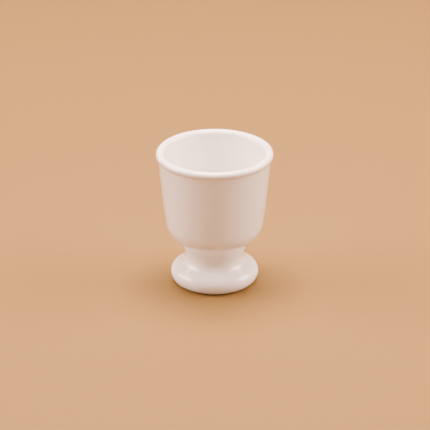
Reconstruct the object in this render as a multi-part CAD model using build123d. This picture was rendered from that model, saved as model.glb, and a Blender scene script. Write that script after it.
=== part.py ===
from build123d import *
import os
from math import acos, atan2, cos, degrees, hypot, radians, sin, sqrt

# A small footed egg cup. Everything is turned about +Z, so each piece is drawn as a
# half section (radius, height) and revolved. The origin is the centre of the foot ring,
# on the surface that the cup stands on. Millimetres and degrees.

# Outside of the cup
overall_height = 60.0
rim_radius = 25.0
lip_round = 1.6            # outer round of the lip
lip_cove = 1.8             # hollow under the lip, where it runs into the wall
wall_top_radius = 23.93    # wall just under the lip
wall_foot_radius = 21.06   # wall where the rounded underside begins
wall_foot_height = 27.7
wall_lean_low = 7.5        # how far the wall leans out at its foot
wall_lean_high = 4.4       # and just under the lip
underside_round = 13.4

# Outside of the foot
waist_radius = 12.47
waist_height = 12.15
waist_cove_above = 6.2
waist_cove_below = 4.3
foot_radius = 18.9
foot_edge_height = 3.7     # height of the foot's widest circle
foot_edge_round = 3.5
ring_outer_radius = 16.1   # outer edge of the flat ring that the cup stands on

# Inside of the bowl
lip_inner_round = 2.0      # inner round of the lip, which meets the outer one at the crest
inner_lean = 5.3
inner_corner = 11.0
floor_height = 20.6

# Recess under the foot
ring_inner_radius = 13.9
ring_inner_round = 0.8
recess_shoulder = (13.1, 5.2)
recess_shoulder_round = 1.8
throat_radius = 9.5
throat_height = 8.6
throat_round = 3.0

# Slip between bowl and foot
slip_thickness = 0.45
slip_bead = 0.8            # height of the slip that squeezes out inside the recess
slip_bead_hollow = 0.2     # how far its face is hollowed


def on_circle(centre, radius, angle):
    """The point of a circle at an angle in degrees, counted from the radial direction."""
    return (centre[0] + radius * cos(radians(angle)), centre[1] + radius * sin(radians(angle)))


def arc(centre, radius, start, end):
    """An arc from one angle to another, either way round."""
    return CenterArc(centre, radius, start, end - start)


def crossing_tangent(centre, radius, other_centre, other_radius, side):
    """A line that passes between two circles and touches both. The result is the angle of
    its touching point on the first circle; on the other it is the opposite angle. Side +1
    puts the point anticlockwise from the line of centres, and -1 clockwise."""
    across = other_centre[0] - centre[0]
    up = other_centre[1] - centre[1]
    return degrees(atan2(up, across) + side * acos((radius + other_radius) / hypot(across, up)))


# Centres of the outline's circles
lip_centre = (rim_radius - lip_round, overall_height - lip_round)
underside_centre = on_circle((wall_foot_radius, wall_foot_height), underside_round, 180 - wall_lean_low)
cove_above_centre = (waist_radius + waist_cove_above, waist_height)
cove_below_centre = (waist_radius + waist_cove_below, waist_height)
foot_edge_centre = (foot_radius - foot_edge_round, foot_edge_height)

# Straight flank from the underside down to the waist, and straight slope from the waist
# down to the foot's edge
flank_angle = crossing_tangent(underside_centre, underside_round, cove_above_centre, waist_cove_above, 1)
slope_angle = crossing_tangent(foot_edge_centre, foot_edge_round, cove_below_centre, waist_cove_below, -1)

# The bowl leaves the joint where the flank leaves the waist's cove
joint_edge = on_circle(cove_above_centre, waist_cove_above, flank_angle + 180)
joint_height = joint_edge[1]
foot_top_height = joint_height - slip_thickness
foot_top_angle = 180 - degrees(atan2(
    foot_top_height - waist_height,
    sqrt(waist_cove_above**2 - (foot_top_height - waist_height) ** 2)))


def turned(edges):
    """The solid that a closed half section sweeps out when it turns about the axis."""
    section = make_face(Plane.XZ * (Curve() + edges))
    return revolve(section, Axis.Z, 360)


def bowl():
    # Outside, from the joint up: flank, rounded underside, wall, cove, lip
    flank_top = on_circle(underside_centre, underside_round, flank_angle)
    wall_foot = (wall_foot_radius, wall_foot_height)
    cove_reach = lip_cove + lip_round
    cove_radius_at = wall_top_radius + lip_cove * cos(radians(wall_lean_high))
    cove_height_at = lip_centre[1] - sqrt(cove_reach**2 - (cove_radius_at - lip_centre[0]) ** 2)
    cove_centre = (cove_radius_at, cove_height_at)
    wall_top = on_circle(cove_centre, lip_cove, 180 - wall_lean_high)
    cove_end_angle = degrees(atan2(lip_centre[1] - cove_height_at, lip_centre[0] - cove_radius_at))
    wall_start = Vector(sin(radians(wall_lean_low)), cos(radians(wall_lean_low)))

    # Inside, from the crest down: inner round of the lip, wall, corner, floor
    inner_lip_centre = (lip_centre[0], overall_height - lip_inner_round)
    inner_wall_top = on_circle(inner_lip_centre, lip_inner_round, 180 - inner_lean)
    corner_height = floor_height + inner_corner
    wall_drop = inner_wall_top[1] - corner_height
    corner_radius_at = (inner_wall_top[0] - wall_drop * sin(radians(inner_lean)) / cos(radians(inner_lean))
                        - inner_corner / cos(radians(inner_lean)))
    corner_centre = (corner_radius_at, corner_height)
    inner_wall_foot = on_circle(corner_centre, inner_corner, -inner_lean)

    return turned([
        Line((0, joint_height), joint_edge),
        Line(joint_edge, flank_top),
        arc(underside_centre, underside_round, flank_angle, -wall_lean_low),
        TangentArc(wall_foot, wall_top, tangent=wall_start),
        arc(cove_centre, lip_cove, 180 - wall_lean_high, cove_end_angle),
        arc(lip_centre, lip_round, cove_end_angle - 180, 90),
        arc(inner_lip_centre, lip_inner_round, 90, 180 - inner_lean),
        Line(inner_wall_top, inner_wall_foot),
        arc(corner_centre, inner_corner, -inner_lean, -90),
        Line((corner_radius_at, floor_height), (0, floor_height)),
        Line((0, floor_height), (0, joint_height)),
    ])


def foot():
    slope_foot = on_circle(foot_edge_centre, foot_edge_round, slope_angle)
    slope_top = on_circle(cove_below_centre, waist_cove_below, slope_angle + 180)
    edge_reach = foot_radius - ring_outer_radius
    ring_inner_edge = (ring_inner_radius + ring_inner_round, 0)
    lower_edge = EllipticalCenterArc(
        (ring_outer_radius, foot_edge_height), edge_reach, foot_edge_height,
        start_angle=270, arc_size=90)
    foot_top = on_circle(cove_above_centre, waist_cove_above, foot_top_angle)
    recess = FilletPolyline(
        ring_inner_edge, (ring_inner_radius, 0), recess_shoulder,
        (throat_radius, throat_height), (throat_radius, foot_top_height),
        radius=[ring_inner_round, recess_shoulder_round, throat_round])
    return turned([
        Line(ring_inner_edge, (ring_outer_radius, 0)),
        lower_edge,
        arc(foot_edge_centre, foot_edge_round, 0, slope_angle),
        Line(slope_foot, slope_top),
        arc(cove_below_centre, waist_cove_below, slope_angle + 180, 180),
        arc(cove_above_centre, waist_cove_above, 180, foot_top_angle),
        Line(foot_top, (throat_radius, foot_top_height)),
        recess,
    ])


def slip_joint():
    """A thin washer between bowl and foot, with a hollow fillet of slip squeezed out of its
    inner edge into the corner of the recess."""
    foot_top = on_circle(cove_above_centre, waist_cove_above, foot_top_angle)
    bead_foot = (throat_radius, foot_top_height - slip_bead)
    bead_top = (throat_radius - slip_bead - slip_thickness, joint_height)
    return turned([
        Line(bead_top, joint_edge),
        arc(cove_above_centre, waist_cove_above, flank_angle + 180, foot_top_angle),
        Line(foot_top, (throat_radius, foot_top_height)),
        Line((throat_radius, foot_top_height), bead_foot),
        SagittaArc(bead_foot, bead_top, -slip_bead_hollow),
    ])


os.makedirs("parts", exist_ok=True)
pieces = {"bowl": bowl(), "foot": foot(), "slip_joint": slip_joint()}
for node, piece in pieces.items():
    piece.label = node
    export_step(piece, f"parts/{node}.step")
    size = piece.bounding_box()
    print(f"{node}: {piece.volume / 1000:.2f} cm3, {size.size.X:.2f} wide, {size.min.Z:.2f} to {size.max.Z:.2f} high")
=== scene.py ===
# %% [markdown]
# # A white porcelain egg cup
#
# This lesson dresses the working model of a small footed egg cup: a round bowl with a
# rolled lip, a waisted foot that is hollow below, and the thin layer of slip that joined
# the two before they were fired. The cup is glazed all over, except for the ring that it
# stood on in the kiln.

# %% Load the working model
import math

import bpy
import numpy as np
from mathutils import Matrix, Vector


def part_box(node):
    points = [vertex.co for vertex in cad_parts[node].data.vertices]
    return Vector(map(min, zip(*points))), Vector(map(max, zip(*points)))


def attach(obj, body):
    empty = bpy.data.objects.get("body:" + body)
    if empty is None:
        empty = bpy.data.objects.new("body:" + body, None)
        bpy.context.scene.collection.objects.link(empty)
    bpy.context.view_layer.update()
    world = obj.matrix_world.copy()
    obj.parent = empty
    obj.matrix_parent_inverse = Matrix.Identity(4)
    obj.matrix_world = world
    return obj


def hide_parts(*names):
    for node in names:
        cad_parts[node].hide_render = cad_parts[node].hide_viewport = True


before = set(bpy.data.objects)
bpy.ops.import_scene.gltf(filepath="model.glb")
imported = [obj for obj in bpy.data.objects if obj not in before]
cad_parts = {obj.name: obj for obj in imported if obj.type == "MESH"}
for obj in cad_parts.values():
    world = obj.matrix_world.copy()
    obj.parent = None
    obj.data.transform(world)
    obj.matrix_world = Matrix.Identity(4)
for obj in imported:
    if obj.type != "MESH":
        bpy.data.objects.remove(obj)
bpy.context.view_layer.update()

# %% [markdown]
# ## Sizes
#
# The working model says how tall the cup is, how wide, and where the bowl ends and the
# foot begins, so those sizes are read from it. How each stretch is rounded is what a
# mould maker would cut into a profile, and here every round is named. Blender counts in
# metres, so sizes are given in millimetres times MM.

# %% Read the main sizes from the frame
MM = 0.001
bowl_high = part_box("bowl")[1]
foot_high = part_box("foot")[1]

CUP_HEIGHT = bowl_high.z
RIM_RADIUS = bowl_high.x
FOOT_RADIUS = foot_high.x
FOOT_TOP = foot_high.z
print(f"cup {CUP_HEIGHT / MM:.1f} mm high, lip {2 * RIM_RADIUS / MM:.1f} mm across")

# %% Name the rounds of the bowl
LIP_ROUND = 1.6 * MM
LIP_COVE = 1.8 * MM
LIP_INNER_ROUND = 2.0 * MM
WALL_TOP_RADIUS = 23.93 * MM
WALL_FOOT = (21.06 * MM, 27.7 * MM)
WALL_LEAN_LOW = 7.5
WALL_LEAN_HIGH = 4.4
UNDERSIDE_ROUND = 13.4 * MM
INNER_LEAN = 5.3
INNER_CORNER = 11.0 * MM
FLOOR_HEIGHT = 20.6 * MM

# %% Name the rounds of the foot
WAIST = (12.47 * MM, 12.15 * MM)
WAIST_COVE_ABOVE = 6.2 * MM
WAIST_COVE_BELOW = 4.3 * MM
FOOT_EDGE_HEIGHT = 3.7 * MM
FOOT_EDGE_ROUND = 3.5 * MM
RING_OUTER_RADIUS = 16.1 * MM
RING_INNER_RADIUS = 13.9 * MM
RING_INNER_ROUND = 0.8 * MM
RECESS_SHOULDER = (13.1 * MM, 5.2 * MM)
RECESS_SHOULDER_ROUND = 1.8 * MM
THROAT = (9.5 * MM, 8.6 * MM)
THROAT_ROUND = 3.0 * MM
SLIP_BEAD = 0.8 * MM
SLIP_BEAD_HOLLOW = 0.2 * MM

# %% [markdown]
# ## Drawing a profile
#
# Everything on this cup was turned about one axis, so each piece starts as a line on a
# half plane: how far from the axis, and how high. The line is a list of stretches,
# straight ones and arcs of circles. Glossy glaze shows every facet as a break in its
# reflections, so the points of a stretch lie close together.

# %% Straight stretches and arcs
POINT_STEP = 0.35 * MM
FINEST_TURN = 5.0
SAME_PLACE = 0.001 * MM
SHORTEST_STRETCH = 0.01 * MM


def on_circle(centre, radius, angle):
    turn = math.radians(angle)
    return np.array([centre[0] + radius * math.cos(turn), centre[1] + radius * math.sin(turn)])


def shares(length, turn=0.0):
    """Even steps from 0 to 1, close enough for a length and for how far it turns."""
    steps = max(round(length / POINT_STEP), math.ceil(turn / FINEST_TURN), 2)
    return np.linspace(0, 1, steps + 1)[:, None]


def straight(start, end):
    share = shares(math.dist(start, end))
    return np.array(start) * (1 - share) + np.array(end) * share


def arc(centre, radius, start, end, flatten=1.0):
    """Part of a circle, or of an ellipse where its height is flattened or stretched."""
    turn = abs(end - start)
    angle = np.radians(start + (end - start) * shares(radius * math.radians(turn), turn))
    out = centre[0] + radius * np.cos(angle)
    up = centre[1] + radius * flatten * np.sin(angle)
    return np.concatenate([out, up], axis=1)


# %% [markdown]
# Smooth ware has no corners between its rounds: a straight stretch leaves one circle and
# meets the next without a kink. `crossing_tangent` finds such a line between two circles
# on opposite sides of it. `eased` softens the corners of a bent line, as a wet sponge
# does inside the foot.

# %% Tangents and eased corners
def crossing_tangent(centre, radius, other_centre, other_radius, side):
    """The angle at which a line touches the first circle before it crosses over to touch
    the second one at the opposite angle."""
    across = other_centre[0] - centre[0]
    up = other_centre[1] - centre[1]
    turn = math.acos((radius + other_radius) / math.hypot(across, up))
    return math.degrees(math.atan2(up, across) + side * turn)


def corner_arc(before, corner, after, radius):
    corner = np.array(corner)
    back = (np.array(before) - corner) / math.dist(before, corner)
    ahead = (np.array(after) - corner) / math.dist(after, corner)
    half = math.acos(float(back @ ahead)) / 2
    centre = corner + (back + ahead) / np.linalg.norm(back + ahead) * radius / math.sin(half)
    first = corner + back * radius / math.tan(half) - centre
    last = corner + ahead * radius / math.tan(half) - centre
    start = math.degrees(math.atan2(first[1], first[0]))
    end = math.degrees(math.atan2(last[1], last[0]))
    return arc(centre, radius, start, start + (end - start + 180) % 360 - 180)


def eased(corners, radii):
    """Straight stretches through the corners, with an arc in place of each inner one."""
    stretches = []
    reached = np.array(corners[0])
    for before, corner, after, radius in zip(corners, corners[1:], corners[2:], radii):
        bend = corner_arc(before, corner, after, radius)
        if math.dist(reached, bend[0]) > SHORTEST_STRETCH:
            stretches.append(straight(reached, bend[0]))
        stretches.append(bend)
        reached = bend[-1]
    stretches.append(straight(reached, corners[-1]))
    return stretches


# %% Centres of the outline's circles
lip_centre = (RIM_RADIUS - LIP_ROUND, CUP_HEIGHT - LIP_ROUND)
underside_centre = on_circle(WALL_FOOT, UNDERSIDE_ROUND, 180 - WALL_LEAN_LOW)
cove_above_centre = (WAIST[0] + WAIST_COVE_ABOVE, WAIST[1])
cove_below_centre = (WAIST[0] + WAIST_COVE_BELOW, WAIST[1])
foot_edge_centre = (FOOT_RADIUS - FOOT_EDGE_ROUND, FOOT_EDGE_HEIGHT)
flank_angle = crossing_tangent(
    underside_centre, UNDERSIDE_ROUND, cove_above_centre, WAIST_COVE_ABOVE, side=1)
slope_angle = crossing_tangent(
    foot_edge_centre, FOOT_EDGE_ROUND, cove_below_centre, WAIST_COVE_BELOW, side=-1)
foot_top_angle = 180 - math.degrees(math.asin((FOOT_TOP - WAIST[1]) / WAIST_COVE_ABOVE))
joint_edge = on_circle(cove_above_centre, WAIST_COVE_ABOVE, flank_angle + 180)
foot_top_edge = on_circle(cove_above_centre, WAIST_COVE_ABOVE, foot_top_angle)
print(f"the joint's edge is {joint_edge[0] / MM:.2f} mm from the axis, {joint_edge[1] / MM:.2f} mm up")

# %% [markdown]
# ## The bowl's profile
#
# From the joint the outside climbs along a straight flank into the rounded underside and
# a wall that leans out and straightens as it rises. Under the lip it turns through a
# small hollow, a cove, into the full round of the lip. The inside comes down from the
# crest to a floor with a wide corner, which keeps the end of an egg off the bottom.

# %% Draw the bowl
def leaning_wall(start, lean_low, end, lean_high):
    """A wall whose lean changes evenly from its foot to its top."""
    share = shares(math.dist(start, end))
    low = np.array([math.sin(math.radians(lean_low)), math.cos(math.radians(lean_low))])
    high = np.array([math.sin(math.radians(lean_high)), math.cos(math.radians(lean_high))])
    third = math.dist(start, end) / 3
    start, end = np.array(start), np.array(end)
    return (
        start * (1 - share) ** 3
        + (start + low * third) * 3 * share * (1 - share) ** 2
        + (end - high * third) * 3 * share**2 * (1 - share)
        + end * share**3
    )


def bowl_outside():
    cove_radius_at = WALL_TOP_RADIUS + LIP_COVE * math.cos(math.radians(WALL_LEAN_HIGH))
    cove_reach = LIP_COVE + LIP_ROUND
    cove_height_at = lip_centre[1] - math.sqrt(cove_reach**2 - (cove_radius_at - lip_centre[0]) ** 2)
    cove_centre = (cove_radius_at, cove_height_at)
    wall_top = on_circle(cove_centre, LIP_COVE, 180 - WALL_LEAN_HIGH)
    cove_end = math.degrees(math.atan2(lip_centre[1] - cove_height_at, lip_centre[0] - cove_radius_at))
    return [
        straight(joint_edge, on_circle(underside_centre, UNDERSIDE_ROUND, flank_angle)),
        arc(underside_centre, UNDERSIDE_ROUND, flank_angle, -WALL_LEAN_LOW),
        leaning_wall(WALL_FOOT, WALL_LEAN_LOW, wall_top, WALL_LEAN_HIGH),
        arc(cove_centre, LIP_COVE, 180 - WALL_LEAN_HIGH, cove_end),
        arc(lip_centre, LIP_ROUND, cove_end - 180, 90),
    ]


def bowl_inside():
    round_centre = (lip_centre[0], CUP_HEIGHT - LIP_INNER_ROUND)
    wall_top = on_circle(round_centre, LIP_INNER_ROUND, 180 - INNER_LEAN)
    corner_height = FLOOR_HEIGHT + INNER_CORNER
    lean = math.radians(INNER_LEAN)
    wall_run = (wall_top[1] - corner_height) * math.tan(lean)
    corner_at = wall_top[0] - wall_run - INNER_CORNER / math.cos(lean)
    corner_centre = (corner_at, corner_height)
    return [
        arc(round_centre, LIP_INNER_ROUND, 90, 180 - INNER_LEAN),
        straight(wall_top, on_circle(corner_centre, INNER_CORNER, -INNER_LEAN)),
        arc(corner_centre, INNER_CORNER, -INNER_LEAN, -90),
        straight((corner_at, FLOOR_HEIGHT), (0, FLOOR_HEIGHT)),
    ]


bowl_profile = [straight((0, joint_edge[1]), joint_edge), *bowl_outside(), *bowl_inside()]
print("bowl profile:", sum(len(stretch) for stretch in bowl_profile), "points")

# %% [markdown]
# ## The foot's profile
#
# The foot is a ring of clay that narrows to a waist. Below, it ends in a rounded edge and
# a narrow flat ring; inside, a recess keeps the clay about as thick as the bowl's, so
# that both dry and shrink alike. The profile goes once round the clay: across the top,
# down the outside, over the ring, and up through the recess.

# %% Draw the foot
def foot_stretches():
    ring_inner_edge = (RING_INNER_RADIUS + RING_INNER_ROUND, 0)
    edge_reach = FOOT_RADIUS - RING_OUTER_RADIUS
    recess = [ring_inner_edge, (RING_INNER_RADIUS, 0), RECESS_SHOULDER, THROAT, (THROAT[0], FOOT_TOP)]
    return [
        straight((THROAT[0], FOOT_TOP), foot_top_edge),
        arc(cove_above_centre, WAIST_COVE_ABOVE, foot_top_angle, 180),
        arc(cove_below_centre, WAIST_COVE_BELOW, 180, slope_angle + 180),
        straight(
            on_circle(cove_below_centre, WAIST_COVE_BELOW, slope_angle + 180),
            on_circle(foot_edge_centre, FOOT_EDGE_ROUND, slope_angle),
        ),
        arc(foot_edge_centre, FOOT_EDGE_ROUND, slope_angle, 0),
        arc((RING_OUTER_RADIUS, FOOT_EDGE_HEIGHT), edge_reach, 0, -90, FOOT_EDGE_HEIGHT / edge_reach),
        straight((RING_OUTER_RADIUS, 0), ring_inner_edge),
        *eased(recess, [RING_INNER_ROUND, RECESS_SHOULDER_ROUND, THROAT_ROUND]),
    ]


foot_profile = [stretch[::-1] for stretch in foot_stretches()[::-1]]
print("foot profile:", sum(len(stretch) for stretch in foot_profile), "points")

# %% [markdown]
# ## The slip's profile
#
# Slip is clay stirred into a cream, the potter's glue. When the leather-hard bowl is
# pressed onto the foot, a little squeezes out on both sides. Outside it is wiped flush;
# inside the foot nobody reaches it, so a soft bead stays in the corner.

# %% Draw the slip
def slip_stretches():
    bead_foot = np.array([THROAT[0], FOOT_TOP - SLIP_BEAD])
    bead_top = np.array([THROAT[0] - SLIP_BEAD - (joint_edge[1] - FOOT_TOP), joint_edge[1]])
    share = shares(math.dist(bead_foot, bead_top))
    hollow = np.array([1.0, 1.0]) / math.sqrt(2) * SLIP_BEAD_HOLLOW
    bead = bead_top * (1 - share) + bead_foot * share + hollow * 4 * share * (1 - share)
    return [
        bead,
        straight(bead_foot, (THROAT[0], FOOT_TOP)),
        straight((THROAT[0], FOOT_TOP), foot_top_edge),
        arc(cove_above_centre, WAIST_COVE_ABOVE, foot_top_angle, flank_angle + 180),
        straight(joint_edge, bead_top),
    ]


slip_profile = slip_stretches()
print("slip profile:", sum(len(stretch) for stretch in slip_profile), "points")

# %% [markdown]
# ## Out of round
#
# Porcelain shrinks by a seventh in the kiln and softens while it does, so no cup comes
# out truly round. The mouth is drawn in by not quite a tenth of a millimetre one way,
# and the crest dips half as much between three high places. All pieces take the same bend, so
# they stay together, and it only ever draws inwards, so the cup keeps its size.

# %% Bend the turned shape a little
MOUTH_DRAWN_IN = 0.09 * MM
CREST_DIP = 0.05 * MM
LONG_AXIS = math.radians(25)


def fired(around, radius, height):
    """Where a point of the true round shape ends up after firing."""
    rise = np.clip(height / CUP_HEIGHT, 0, 1)
    drawn = MOUTH_DRAWN_IN / RIM_RADIUS * rise**1.5 * (1 - np.cos(2 * (around - LONG_AXIS))) / 2
    dip = CREST_DIP * rise**6 * (1 - np.cos(3 * around + 1.0)) / 2
    return radius * (1 - drawn), height - dip


# %% [markdown]
# The bead of slip came out of the joint as it pleased. Where more was squeezed out it
# reaches further in, and a few waves of different lengths round the joint give it that
# uneven edge.

# %% Squeeze the slip unevenly
BEAD_UNEVEN = 0.38 * MM


def squeezed(around, radius, height):
    waves = np.sin(3 * around + 0.7) + 0.7 * np.sin(7 * around + 2.1) + 0.5 * np.sin(16 * around + 4.0)
    held_back = BEAD_UNEVEN * (waves / 2.2 + 1) / 2
    inwards = np.clip((THROAT[0] - radius) / (SLIP_BEAD + joint_edge[1] - FOOT_TOP), 0, 1)
    return fired(around, radius + held_back * inwards, height)


# %% [markdown]
# ## Turning the pieces
#
# Blender's Screw modifier can turn a profile, and so can a spin in edit mode. Here the
# rings of points are made directly, because that lets every stretch keep its own
# normals. They are taken from the bent surface itself. Two rounds that flow into each
# other then share one reflection, even where two pieces meet, while true corners stay
# crisp.

# %% Turn a stretch into rings of points
AROUND = 192
turns = np.linspace(0, 2 * math.pi, AROUND, endpoint=False)[None, :]


def ring_positions(stretch, bend):
    radius, height = bend(turns, stretch[:, :1] + 0 * turns, stretch[:, 1:] + 0 * turns)
    return np.stack([radius * np.cos(turns), radius * np.sin(turns), height], axis=2)


def ring_normals(rings):
    """The direction square to the surface at each point, out of the clay."""
    along = np.gradient(rings, axis=0, edge_order=2)
    circling = np.stack([-np.sin(turns), np.cos(turns), 0 * turns], axis=2)
    sideways = np.roll(rings, -1, axis=1) - np.roll(rings, 1, axis=1)
    on_axis = np.linalg.norm(rings[:, :1, :2], axis=2) < SAME_PLACE
    normal = np.cross(np.where(on_axis[..., None], circling, sideways), along)
    return normal / np.linalg.norm(normal, axis=2, keepdims=True)


# %% Build one turned piece
def turned_piece(name, profile, bend):
    """A closed mesh from stretches that run anticlockwise round the clay."""
    points, faces, normals, rows = [], [], [], []

    def add_row(ring):
        start = len(points)
        if np.linalg.norm(ring[0, :2]) < SAME_PLACE:
            points.append(ring[0])
            rows.append([start] * AROUND)
        else:
            points.extend(ring)
            rows.append(list(range(start, start + AROUND)))

    def add_band(low, high, low_slopes, high_slopes):
        for here in range(AROUND):
            after = (here + 1) % AROUND
            corners = [(low[here], low_slopes[here]), (low[after], low_slopes[after]),
                       (high[after], high_slopes[after]), (high[here], high_slopes[here])]
            if low[here] == low[after]:
                corners.pop(1)
            elif high[here] == high[after]:
                corners.pop(2)
            faces.append([index for index, _ in corners])
            normals.extend(Vector(slope) for _, slope in corners)

    closed = math.dist(profile[0][0], profile[-1][-1]) < SAME_PLACE
    add_row(ring_positions(profile[0], bend)[0])
    for number, stretch in enumerate(profile):
        rings = ring_positions(stretch, bend)
        slopes = ring_normals(rings)
        for step in range(1, len(rings)):
            if closed and number == len(profile) - 1 and step == len(rings) - 1:
                rows.append(rows[0])
            else:
                add_row(rings[step])
            add_band(rows[-2], rows[-1], slopes[step - 1], slopes[step])

    mesh = bpy.data.meshes.new(name)
    mesh.from_pydata([tuple(point) for point in points], [], faces, shade_flat=False)
    mesh.normals_split_custom_set(normals)
    piece = bpy.data.objects.new(name, mesh)
    bpy.context.scene.collection.objects.link(piece)
    print(f"{name}: {len(points)} points, {len(faces)} faces")
    return piece


# %% Make the bowl, the foot and the slip
bowl = turned_piece("bowl_shell", bowl_profile, fired)
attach(bowl, "root")
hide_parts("bowl")

foot = turned_piece("foot_pedestal", foot_profile, fired)
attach(foot, "root")
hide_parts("foot")

slip = turned_piece("slip_bead", slip_profile, squeezed)
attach(slip, "root")
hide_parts("slip_joint")

# %% [markdown]
# ## Shader sums in plain Python
#
# A glaze is a handful of fields: where it lies thick, where thin, where bare. Writing
# them as sums is easier to read than a drawing of nodes. `Wire` holds one socket, and
# each sum on it adds the Math node that does it.

# %% A socket that can be added and multiplied
class Wire:
    def __init__(self, bench, socket):
        self.bench = bench
        self.socket = socket

    def other(self, output):
        """Another output of the same node."""
        return Wire(self.bench, self.socket.node.outputs[output])

    def math(self, operation, first, second):
        return self.bench.node("Math", {"operation": operation}, {0: first, 1: second})

    def __add__(self, other):
        return self.math("ADD", self, other)

    def __sub__(self, other):
        return self.math("SUBTRACT", self, other)

    def __rsub__(self, other):
        return self.math("SUBTRACT", other, self)

    def __mul__(self, other):
        return self.math("MULTIPLY", self, other)

    def __abs__(self):
        return self.math("ABSOLUTE", self, 0.0)

    __radd__ = __add__
    __rmul__ = __mul__


# %% The bench on which a finish is mixed
class Bench:
    """The node tree of one material, with one way to add a node."""

    def __init__(self, name):
        self.material = bpy.data.materials.new(name)
        self.material.use_nodes = True
        self.tree = self.material.node_tree
        self.tree.nodes.clear()

    def node(self, kind, settings=None, inputs=None, output=0):
        made = self.tree.nodes.new("ShaderNode" + kind)
        for key, value in (settings or {}).items():
            setattr(made, key, value)
        for key, value in (inputs or {}).items():
            if isinstance(value, Wire):
                self.tree.links.new(value.socket, made.inputs[key])
            else:
                made.inputs[key].default_value = value
        return Wire(self, made.outputs[output]) if made.outputs else None

    def fade(self, value, start, end):
        """0 where a value is at or before start, 1 at or past end, and soft between."""
        inputs = {"Value": value, "From Min": start, "From Max": end}
        return self.node("MapRange", {"interpolation_type": "SMOOTHSTEP"}, inputs)

    def near(self, value, centre, reach):
        """1 where a value is at the centre, falling softly to 0 at the reach."""
        return self.fade(abs(value - centre), reach, 0.0)

    def grain(self, place, size, detail=2.0, roughness=0.5):
        """Soft noise from 0 to 1 whose clouds are about one size across."""
        inputs = {"Vector": place, "Scale": 1 / size, "Detail": detail, "Roughness": roughness}
        return self.node("TexNoise", {}, inputs)

    def blend(self, share, first, second):
        """One colour over another."""
        return self.node("Mix", {"data_type": "RGBA"}, {0: share, 6: first, 7: second}, 2)

    def finish(self, shader):
        self.node("OutputMaterial", {}, {"Surface": shader})
        return self.material


# %% [markdown]
# ## The glaze
#
# Porcelain glaze is a clear glass over a white body. In the kiln it flows: it thins on
# edges, where the body shows through, and gathers in hollows, where it takes on a faint
# cream tint. That tint is also painted shade: it is darker and warmer than pooled glaze
# alone, and it stands in for the warm shade that the table's bounce light gives the waist,
# the cove under the lip, the bowl's corner and the recess. The skin of the glaze has a soft
# ripple, like the peel of an orange but far lower, over the fine rings left by turning.
# The shader has these as fields of position, so they run on from piece to piece without a
# seam.

# %% Colours of glaze and clay
GLAZE_WHITE = (0.905, 0.89, 0.878, 1)
GLAZE_CLOUD = (0.88, 0.862, 0.845, 1)
# Cream of pooled glaze, made darker and warmer as painted shade from the table's bounce light
GLAZE_THICK_AND_PAINTED_SHADE = (0.875, 0.855, 0.79, 1)
GLAZE_THIN = (0.92, 0.895, 0.862, 1)
PINHOLE = (0.52, 0.47, 0.41, 1)
BARE_CLAY = (0.74, 0.69, 0.62, 1)
CLAY_GRAIN = (0.60, 0.545, 0.47, 1)


# %% Where each point of the cup is
def spots(bench):
    """The place of a point, its height, and its distance from the axis."""
    place = bench.node("TexCoord", output="Object")
    height = bench.node("SeparateXYZ", {}, {0: place}, "Z")
    flat = bench.node("VectorMath", {"operation": "MULTIPLY"}, {0: place, 1: (1, 1, 0)})
    radius = bench.node("VectorMath", {"operation": "LENGTH"}, {0: flat}, "Value")
    return place, height, radius


# %% [markdown]
# Each place where the glaze gathers or thins is a height and how far up and down it
# reaches. Where the glaze gathers, the same field also lays on painted shade. A pair of
# radii then keeps it to the right side of the clay: the field grows from nothing at the
# first radius to its whole strength at the second. For the well, a pair of heights also
# keeps it above the floor of the bowl.

# %% Name the places where the glaze gathers, with painted shade, or thins
# Glaze pools that also carry painted shade: waist, under the lip, the well and the recess
WAIST_POOL_AND_SHADE, WAIST_POOL_AND_SHADE_REACH = WAIST[1] + 0.3 * MM, 4.2 * MM
LIP_POOL_AND_SHADE, LIP_POOL_AND_SHADE_REACH = 55.9 * MM, 2.2 * MM
WELL_POOL_AND_SHADE_REACH = 9.0 * MM
RECESS_POOL_AND_SHADE, RECESS_POOL_AND_SHADE_REACH = 9.5 * MM, 4.0 * MM
CREST_REACH = 1.5 * MM
FOOT_EDGE_THIN, FOOT_EDGE_REACH = FOOT_EDGE_HEIGHT + 0.6 * MM, 2.0 * MM

OUTSIDE_WAIST = (11.5 * MM, 12.0 * MM)
OUTSIDE_WALL = (23.2 * MM, 23.6 * MM)
WITHIN_WELL = (19.0 * MM, 15.0 * MM)
WITHIN_RECESS = (12.3 * MM, 11.8 * MM)
OUTER_FOOT = (17.8 * MM, 18.9 * MM)
ABOVE_FLOOR = (20.0 * MM, 20.4 * MM)


# %% Where the glaze lies thick, with painted shade, or thin
def thick_glaze_and_painted_shade(bench, height, radius, wander):
    """It gathers, with painted shade, in the waist, under the lip, in the bowl's corner and in the
    recess.
    """
    waist = bench.near(height, WAIST_POOL_AND_SHADE, WAIST_POOL_AND_SHADE_REACH) * bench.fade(radius, *OUTSIDE_WAIST)
    under_lip = bench.near(height, LIP_POOL_AND_SHADE, LIP_POOL_AND_SHADE_REACH) * bench.fade(radius, *OUTSIDE_WALL)
    well = bench.near(height, FLOOR_HEIGHT, WELL_POOL_AND_SHADE_REACH) * bench.fade(height, *ABOVE_FLOOR)
    well = well * bench.fade(radius, *WITHIN_WELL)
    recess = bench.near(height, RECESS_POOL_AND_SHADE, RECESS_POOL_AND_SHADE_REACH) * bench.fade(radius, *WITHIN_RECESS)
    return (waist + under_lip * 0.8 + well * 0.2 + recess) * (0.55 + wander * 0.9)


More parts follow.
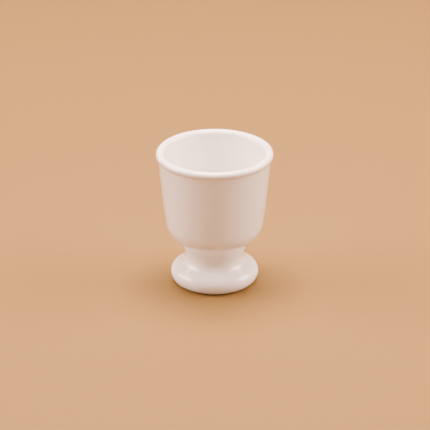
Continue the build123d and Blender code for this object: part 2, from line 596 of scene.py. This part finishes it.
def thin_glaze(bench, height, radius, wander):
    """It runs off the crest of the lip and the widest edge of the foot."""
    crest = bench.near(height, CUP_HEIGHT, CREST_REACH)
    foot_edge = bench.near(height, FOOT_EDGE_THIN, FOOT_EDGE_REACH) * bench.fade(radius, *OUTER_FOOT)
    return (crest + foot_edge) * (0.4 + wander * 1.1)


# %% The skin of the glaze
SKIN_DEPTH = 0.028 * MM
RIPPLE_SIZE = 3.2 * MM
PEEL_SIZE = 0.9 * MM
RING_PITCH = 1.3 * MM
RING_SWAY_SIZE = 22 * MM
PINHOLE_SPACING = 5.2 * MM


def glaze_skin(bench, place, height):
    """How high the skin stands, as a share of its depth."""
    ripple = bench.grain(place, RIPPLE_SIZE, 1.0, 0.4)
    peel = bench.grain(place, PEEL_SIZE, 1.0, 0.4)
    sway = bench.grain(place, RING_SWAY_SIZE, 0.0)
    phase = height * (2 * math.pi / RING_PITCH) + sway * 5.0
    rings = bench.node("Math", {"operation": "SINE"}, {0: phase})
    return ripple * 0.62 + peel * 0.12 + rings * 0.05


def pinholes(bench, place):
    """A few specks, where a bubble broke the skin or iron came through."""
    spacing = {"Vector": place, "Scale": 1 / PINHOLE_SPACING}
    reach = bench.node("TexVoronoi", {}, spacing, "Distance")
    pick = bench.node("SeparateColor", {}, {0: reach.other("Color")})
    return bench.fade(reach, 0.036, 0.016) * bench.fade(pick, 0.86, 0.9)


# %% [markdown]
# The ring that stood on the kiln shelf is bare. Its clay is dry to the touch and a little
# darker, with fine grains, and the glaze ends beside it in a line that wanders because it
# was wiped off with a sponge.
#
# The Principled shader stands for the whole skin: its coat is the clear glass, its base
# is the white body under it, and a little subsurface scattering lets light soak into the
# body and come back softer, as it does in porcelain.

# %% Name the grain of glaze and clay
CLOUD_SIZE = 14 * MM
SMEAR_SIZE = 9 * MM
CLAY_GRAIN_SIZE = 0.35 * MM
GLAZE_LINE = 0.42 * MM
GLAZE_LINE_WANDER = 0.35 * MM
GLAZE_LINE_WAVE = 2.5 * MM
GLAZE_LINE_SOFTNESS = 0.06 * MM


# %% Mix the glaze, with or without the bare ring
def glazed_porcelain(name, bare_ring=False):
    bench = Bench(name)
    place, height, radius = spots(bench)
    wander = bench.grain(place, CLOUD_SIZE, 3.0, 0.55)
    thick_and_shade = thick_glaze_and_painted_shade(bench, height, radius, wander)
    thin = thin_glaze(bench, height, radius, wander)
    speck = pinholes(bench, place)

    colour = bench.blend(bench.fade(wander, 0.35, 0.7), GLAZE_WHITE, GLAZE_CLOUD)
    # Painted shade: the hollows take the darker, warmer tint, partly pooled glaze and partly shade
    colour = bench.blend(thick_and_shade, colour, GLAZE_THICK_AND_PAINTED_SHADE)
    colour = bench.blend(thin, colour, GLAZE_THIN)
    colour = bench.blend(speck * 0.55, colour, PINHOLE)
    smear = bench.grain(place, SMEAR_SIZE, 4.0, 0.6)
    gloss = 0.17 + smear * 0.10 + thin * 0.06 - thick_and_shade * 0.03
    skin = glaze_skin(bench, place, height) - speck * 0.5
    coat = 0.6 - speck * 0.3

    if bare_ring:
        edge = bench.grain(place, GLAZE_LINE_WAVE, 2.0, 0.6)
        shore = GLAZE_LINE + edge * GLAZE_LINE_WANDER
        bare = bench.fade(height - shore, GLAZE_LINE_SOFTNESS, -GLAZE_LINE_SOFTNESS)
        clay = bench.grain(place, CLAY_GRAIN_SIZE, 3.0, 0.7)
        bare_colour = bench.blend(bench.fade(clay, 0.42, 0.72), BARE_CLAY, CLAY_GRAIN)
        colour = bench.blend(bare, colour, bare_colour)
        gloss = gloss * (1 - bare) + bare * (0.62 + clay * 0.25)
        skin = skin * (1 - bare) + (clay * 0.9 - 0.9) * bare
        coat = coat * (1 - bare)

    normal = bench.node("Bump", {}, {"Strength": 1.0, "Distance": SKIN_DEPTH, "Height": skin})
    shader = bench.node("BsdfPrincipled", {}, {
        "Base Color": colour,
        "Roughness": gloss,
        "Normal": normal,
        "IOR": 1.5,
        "Coat Weight": coat,
        "Coat Roughness": 0.08,
        "Coat IOR": 1.5,
        "Subsurface Weight": 0.15,
        "Subsurface Radius": (1.0, 0.85, 0.7),
        "Subsurface Scale": 1.2 * MM,
    })
    return bench.finish(shader)


bowl.data.materials.append(glazed_porcelain("bowl_glaze"))
foot.data.materials.append(glazed_porcelain("foot_glaze", bare_ring=True))
slip.data.materials.append(glazed_porcelain("slip_glaze"))
for piece in (bowl, foot, slip):
    print(piece.name, "has", len(piece.data.materials[0].node_tree.nodes), "nodes")

# %% [markdown]
# ## The table
#
# White ware takes its colour from what it stands on: the wall of the bowl is lit mostly
# by the table in front of it. A plain floor in the tone of pale wood gives that warm
# bounce. It lies a hair below the ring, so that the two flat faces never share a plane.

# %% Lay the floor
FLOOR_TONE = (0.180, 0.111, 0.030, 1)
FLOOR_SIZE = 6.0
FLOOR_DROP = 0.03 * MM


def plain_floor():
    half = FLOOR_SIZE / 2
    level = -FLOOR_DROP
    corners = [(-half, -half, level), (half, -half, level), (half, half, level), (-half, half, level)]
    mesh = bpy.data.meshes.new("floor")
    mesh.from_pydata(corners, [], [(0, 1, 2, 3)])
    floor = bpy.data.objects.new("floor", mesh)
    bpy.context.scene.collection.objects.link(floor)
    bench = Bench("pale_wood_tone")
    shader = bench.node("BsdfPrincipled", {}, {
        "Base Color": FLOOR_TONE, "Roughness": 0.7, "Specular IOR Level": 0.2})
    mesh.materials.append(bench.finish(shader))


plain_floor()

# %% [markdown]
# ## Light
#
# Small glossy ware is shot under large soft lights, so that no edge of a lamp shows in
# the glaze. One hangs close above the cup and shines into the bowl. Two wide ones at
# left and right brighten the sides of the wall and leave its middle in soft shade. A
# weak one in front opens that shade, and a weak one behind lights the far floor. The
# lamps are strong and the floor's own tone is dark, so the view's film-like curve leaves
# the glaze white without burning it out.

# %% Hang the lights
def soft_light(name, place, aim, width, height, power, tone):
    lamp = bpy.data.lights.new(name, "AREA")
    lamp.shape = "RECTANGLE"
    lamp.size = width
    lamp.size_y = height
    lamp.energy = power
    lamp.color = tone
    light = bpy.data.objects.new(name, lamp)
    light.location = place
    light.rotation_euler = (Vector(aim) - Vector(place)).to_track_quat("-Z", "Y").to_euler()
    bpy.context.scene.collection.objects.link(light)


LAMP_TONE = (1.0, 0.70, 0.60)
CUP_MIDDLE = (0, 0, CUP_HEIGHT / 2)
FAR_FLOOR = (0, 0.5, 0)
soft_light("overhead", (0, 0.12, 0.75), CUP_MIDDLE, 0.42, 0.42, 29.5, LAMP_TONE)
soft_light("left", (-1.1, 0.1, 0.78), CUP_MIDDLE, 0.9, 0.8, 47.0, LAMP_TONE)
soft_light("right", (1.1, 0.1, 0.78), CUP_MIDDLE, 0.9, 0.8, 47.0, LAMP_TONE)
soft_light("front", (0, -1.4, 0.7), CUP_MIDDLE, 0.9, 0.6, 11.0, LAMP_TONE)
soft_light("back", (0, 1.6, 0.9), FAR_FLOOR, 1.6, 0.7, 9.0, LAMP_TONE)

# %% Fill the room with a faint glow
ROOM_TONE = (1.0, 0.75, 0.67, 1)
ROOM_STRENGTH = 0.045

world = bpy.data.worlds.new("room")
world.use_nodes = True
room = world.node_tree.nodes["Background"]
room.inputs["Color"].default_value = ROOM_TONE
room.inputs["Strength"].default_value = ROOM_STRENGTH
bpy.context.scene.world = world

# %% [markdown]
# ## Camera
#
# A long lens from a metre away keeps the small cup's proportions calm.

# %% Set up the camera
CAMERA_DISTANCE = 1.0
CAMERA_PITCH = math.radians(24.89)
CAMERA_LENS = 194.73
CAMERA_AIM = (0.18 * MM, 0, 29.83 * MM)

lens = bpy.data.cameras.new("camera")
lens.lens = CAMERA_LENS
lens.sensor_width = 36
lens.clip_start = 0.01
camera = bpy.data.objects.new("camera", lens)
aim = Vector(CAMERA_AIM)
camera.location = aim + Vector((0, -math.cos(CAMERA_PITCH), math.sin(CAMERA_PITCH))) * CAMERA_DISTANCE
camera.rotation_euler = (aim - camera.location).to_track_quat("-Z", "Y").to_euler()
bpy.context.scene.collection.objects.link(camera)
bpy.context.scene.camera = camera
print("camera at", [round(value, 3) for value in camera.location])
